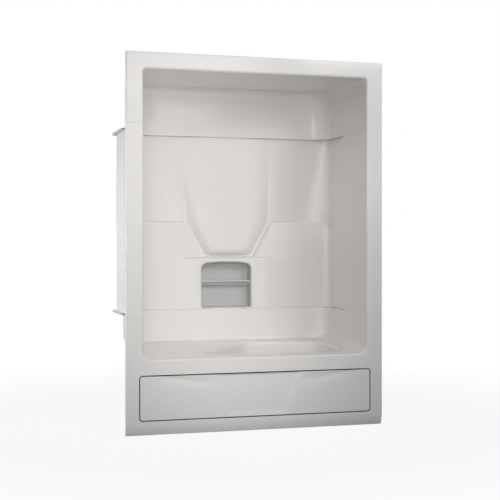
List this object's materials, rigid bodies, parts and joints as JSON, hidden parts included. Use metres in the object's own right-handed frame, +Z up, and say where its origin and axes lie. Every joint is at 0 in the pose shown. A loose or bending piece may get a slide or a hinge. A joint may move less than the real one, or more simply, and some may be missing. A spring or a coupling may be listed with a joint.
{
  "type": "tub and shower unit",
  "caption": "Alcove tub and shower unit in bolted acrylic mouldings, with moulded corner shelves, a recessed soap niche, a roof and a removable access panel in the skirt.",
  "frame": {"origin": "middle of the unit's footprint, on the floor", "axes": "+Z up; -Y out of the open front, towards the bather; +X to the right as one faces the opening, towards the drain"},
  "size_m": [1.524, 0.813, 2.13],
  "materials": {
    "acrylic": "gloss, warm white",
    "grey_insert": "gloss, mid grey",
    "white_seal": "matt, white",
    "black_rubber": "matt, black",
    "steel": "zinc plated",
    "chrome": "polished",
    "white_plastic": "matt, white",
    "plywood": "raw"
  },
  "bodies": {
    "unit": {"tub": "acrylic", "wall_surround": "acrylic", "roof_cap": "acrylic", "lower_joint_seal": "white_seal", "upper_joint_seal": "white_seal", "lower_joint_bolt_1": "steel", "lower_joint_bolt_2": "steel", "lower_joint_bolt_3": "steel", "lower_joint_bolt_4": "steel", "lower_joint_bolt_5": "steel", "lower_joint_bolt_6": "steel", "lower_joint_bolt_7": "steel", "lower_joint_bolt_8": "steel", "upper_joint_bolt_1": "steel", "upper_joint_bolt_2": "steel", "upper_joint_bolt_3": "steel", "upper_joint_bolt_4": "steel", "upper_joint_bolt_5": "steel", "upper_joint_bolt_6": "steel", "upper_joint_bolt_7": "steel", "upper_joint_bolt_8": "steel", "soap_niche_insert": "grey_insert", "niche_seal": "black_rubber", "washcloth_bar": "grey_insert", "panel_landing_frame": "white_plastic", "panel_grommet_1": "black_rubber", "panel_grommet_2": "black_rubber", "panel_grommet_3": "black_rubber", "panel_grommet_4": "black_rubber", "panel_grommet_5": "black_rubber", "base_board": "plywood", "front_runner": "plywood", "back_runner": "plywood", "drain_flange": "chrome", "drain_gasket": "black_rubber", "drain_shoe": "white_plastic", "stopper_post": "chrome", "overflow_plate": "chrome", "overflow_screw_front": "chrome", "overflow_screw_back": "chrome", "overflow_gasket": "black_rubber", "overflow_elbow": "white_plastic", "waste_tee": "white_plastic", "waste_pipe": "white_plastic", "overflow_pipe": "white_plastic", "tailpiece": "white_plastic", "shoe_slip_nut": "white_plastic", "tee_side_slip_nut": "white_plastic", "tee_top_slip_nut": "white_plastic", "elbow_slip_nut": "white_plastic"},
    "panel": {"access_panel": "acrylic"},
    "stopper": {"drain_stopper": "chrome", "stopper_seal": "black_rubber"}
  },
  "joints": [
    {"name": "panel_pull_off", "type": "slide", "parent": "unit", "child": "panel", "axis": [0, -1, 0], "range_m": [0, 0.06]},
    {"name": "stopper_press", "type": "slide", "parent": "unit", "child": "stopper", "axis": [0, 0, 1], "range_m": [-0.0084, 0]}
  ]
}
